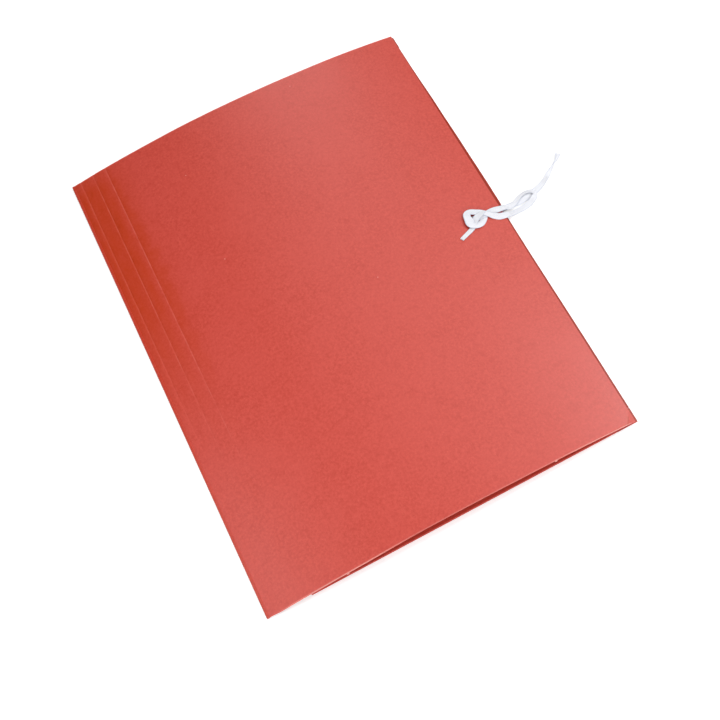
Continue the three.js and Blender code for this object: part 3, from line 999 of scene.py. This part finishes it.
def flaps():
    spine_shift = END_FLAP_DEPTH * math.tan(math.radians(END_FLAP_SPINE_SLANT))
    fore_shift = END_FLAP_DEPTH * math.tan(math.radians(END_FLAP_FORE_SLANT))
    outline = [(END_FLAP_START_X, PANEL_ROOT), (END_FLAP_STOP_X, PANEL_ROOT),
               (END_FLAP_STOP_X - fore_shift, END_FLAP_DEPTH), (END_FLAP_START_X + spine_shift, END_FLAP_DEPTH)]
    for name, side in (("top_flap", 1), ("bottom_flap", -1)):
        flap(name, outline, END_FLAP_TIP_RADIUS, (2, 3), END_FLAP_LIFT, 0.25, (0, side * END_Y, 0),
             (0, -side, 0), (1, 0, 0), END_FLAP_SHADE, END_FLAP_SHADE_FADE)
    shift = SIDE_FLAP_DEPTH * math.tan(math.radians(SIDE_FLAP_SLANT))
    low, high = TAPE_Y - SLOT_HALF_WIDTH, TAPE_Y + SLOT_HALF_WIDTH
    outline = [(-SIDE_FLAP_HALF, PANEL_ROOT), (low, PANEL_ROOT), (low, NOTCH_DEPTH), (high, NOTCH_DEPTH),
               (high, PANEL_ROOT), (SIDE_FLAP_HALF, PANEL_ROOT), (SIDE_FLAP_HALF - shift, SIDE_FLAP_DEPTH),
               (-SIDE_FLAP_HALF + shift, SIDE_FLAP_DEPTH)]
    flap("side_flap", outline, SIDE_FLAP_TIP_RADIUS, (6, 7), SIDE_FLAP_LIFT, 0.3, (SIDE_X, 0, 0),
         (-1, 0, 0), (0, 1, 0), SIDE_FOLD_SHADE, SIDE_FLAP_SHADE_FADE)


# Glued paper patches over the inner ends of the tapes, each pressed down round its tape
PATCH_LENGTH = 20.0
PATCH_HALF_WIDTH = 7.0
PATCH_PAPER_THICKNESS = 0.18


def patch(name, body, start_x, glued, raised, tape_start_x):
    """glued and raised give the paper's height at x where it is stuck down and where it lies on the tape."""
    bm = bmesh.new()
    bmesh.ops.create_grid(bm, x_segments=24, y_segments=28, size=0.5)
    tip = [v for v in bm.verts if abs(v.co.x) > 0.49 and abs(v.co.y) > 0.49]
    bmesh.ops.bevel(bm, geom=tip, offset=0.03, segments=3, profile=0.5, affect="VERTICES", material=-1)
    for vertex in bm.verts:
        x = start_x + (vertex.co.x + 0.5) * PATCH_LENGTH
        y = TAPE_Y + vertex.co.y * 2 * PATCH_HALF_WIDTH
        over = remap(-abs(y - TAPE_Y), -3.6, -2.1) * remap(x, tape_start_x - 1.4, tape_start_x)
        height = glued(x) + (raised(x) - glued(x)) * over + 0.04 * noise.noise(Vector((x / 3, y / 3, start_x)))
        vertex.co = Vector((x, y, height)) * MM
    thicken(bm, PATCH_PAPER_THICKNESS)
    piece = finish_mesh(f"{name}_paper", bm, [PATCH_PAPER])
    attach(piece, body)
    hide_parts(name)


def patches():
    half = PATCH_PAPER_THICKNESS / 2
    patch("front_tape_patch", "front_cover", 83.4,
          lambda x: arch_height(x) - settled(x) - BOARD / 2 - 0.06 - half,
          lambda x: arch_height(x) + BOARD / 2 + UNDER_COVER - TAPE_THICKNESS / 2 - 0.08 - half, 87.5)
    patch("back_tape_patch", "back_cover", 86, lambda x: BOARD + 0.06 + half,
          lambda x: BOARD + 0.55 + TAPE_THICKNESS / 2 + 0.08 + half, 89.5)


# Floor, backdrop and lights
FLOOR_NEAR = 0.3
FLOOR_FAR = 1.3
BACKDROP_RADIUS = 2.4
BACKDROP_SWEEP = 0.6
BACKDROP_HEIGHT = 1.3


def white_backdrop_material():
    """White paper. Round the object it shows the shadow, and further out it is an even white."""
    material = bpy.data.materials.new("white_backdrop")
    material.use_nodes = True
    tree = material.node_tree
    tree.nodes.clear()
    output = tree.nodes.new("ShaderNodeOutputMaterial")
    diffuse = tree.nodes.new("ShaderNodeBsdfDiffuse")
    diffuse.inputs["Color"].default_value = (0.86, 0.86, 0.86, 1)
    glow = tree.nodes.new("ShaderNodeEmission")
    rays = tree.nodes.new("ShaderNodeLightPath")
    total = tree.nodes.new("ShaderNodeAddShader")
    distance = tree.nodes.new("ShaderNodeVectorMath")
    distance.operation = "LENGTH"
    tree.links.new(object_coordinates(tree), distance.inputs[0])
    strength = ramp(tree, distance.outputs["Value"], FLOOR_NEAR, FLOOR_FAR, 0.42, 1.0)
    seen = math_node(tree, "MAXIMUM", rays.outputs["Is Camera Ray"], rays.outputs["Is Glossy Ray"])
    seen = math_node(tree, "MAXIMUM", seen, rays.outputs["Is Transmission Ray"])
    tree.links.new(math_node(tree, "MULTIPLY", seen, strength), glow.inputs["Strength"])
    tree.links.new(diffuse.outputs["BSDF"], total.inputs[0])
    tree.links.new(glow.outputs["Emission"], total.inputs[1])
    tree.links.new(total.outputs["Shader"], output.inputs["Surface"])
    return material


def make_floor():
    """A round floor whose rim sweeps up into a low wall."""
    bm = bmesh.new()
    outer = bmesh.ops.create_circle(bm, segments=96, radius=BACKDROP_RADIUS, cap_ends=True)
    edges = [e for e in bm.edges if e.is_boundary]
    steps = [(BACKDROP_SWEEP * math.sin(a), BACKDROP_SWEEP * (1 - math.cos(a)))
             for a in (math.radians(15 * k) for k in range(1, 7))] + [(BACKDROP_SWEEP, BACKDROP_HEIGHT)]
    for reach, height in steps:
        grown = bmesh.ops.extrude_edge_only(bm, edges=edges)["geom"]
        edges = [g for g in grown if isinstance(g, bmesh.types.BMEdge) and g.is_boundary]
        for vertex in {v for e in edges for v in e.verts}:
            flat = Vector((vertex.co.x, vertex.co.y, 0)).normalized()
            vertex.co = flat * (BACKDROP_RADIUS + reach) + UP * height
    bmesh.ops.translate(bm, verts=bm.verts, vec=(0, 0, -0.0001))
    mesh = bpy.data.meshes.new("floor")
    bm.to_mesh(mesh)
    bm.free()
    mesh.shade_smooth()
    mesh.materials.append(white_backdrop_material())
    floor = bpy.data.objects.new("floor", mesh)
    bpy.context.scene.collection.objects.link(floor)


def make_world():
    world = bpy.data.worlds.new("studio")
    bpy.context.scene.world = world
    world.use_nodes = True
    background = world.node_tree.nodes["Background"]
    background.inputs["Color"].default_value = (1, 1, 1, 1)
    background.inputs["Strength"].default_value = 0.12


def area_light(name, place, aim, size, power):
    data = bpy.data.lights.new(name, "AREA")
    data.shape = "SQUARE"
    data.size = size
    data.energy = power
    lamp = bpy.data.objects.new(name, data)
    lamp.location = place
    lamp.rotation_euler = (Vector(aim) - Vector(place)).to_track_quat("-Z", "Y").to_euler()
    lamp.visible_camera = False
    bpy.context.scene.collection.objects.link(lamp)


def make_lights():
    area_light("large_softbox", (0.42, 0.48, 1.2), (0, 0, 0), 1.15, 5.8)
    area_light("right_softbox", (0.8, 0.05, 0.85), (0, 0, 0), 0.22, 2.9)
    area_light("top_softbox", (0.25, 0.9, 0.75), (0, 0, 0), 0.22, 1.3)
    area_light("spine_softbox", (-0.3, -0.04, 0.36), (0, 0, 0), 0.25, 0.47)
    area_light("corner_softbox", (-0.24, -0.25, 0.4), (0, 0, 0), 0.3, 0.25)
    area_light("fore_edge_softbox", (0.36, -0.06, 0.45), (0, 0, 0), 0.42, 0.6)
    area_light("front_softbox", (0.1, -0.9, 0.5), (0, 0, 0), 0.5, 4.5)



make_camera()
front_tape()
back_tape()
for strip_number in range(3):
    spine_strip(strip_number)
front_cover()
folds()
back_cover()
flaps()
patches()
make_floor()
make_world()
make_lights()
bpy.context.scene.view_settings.view_transform = "Standard"
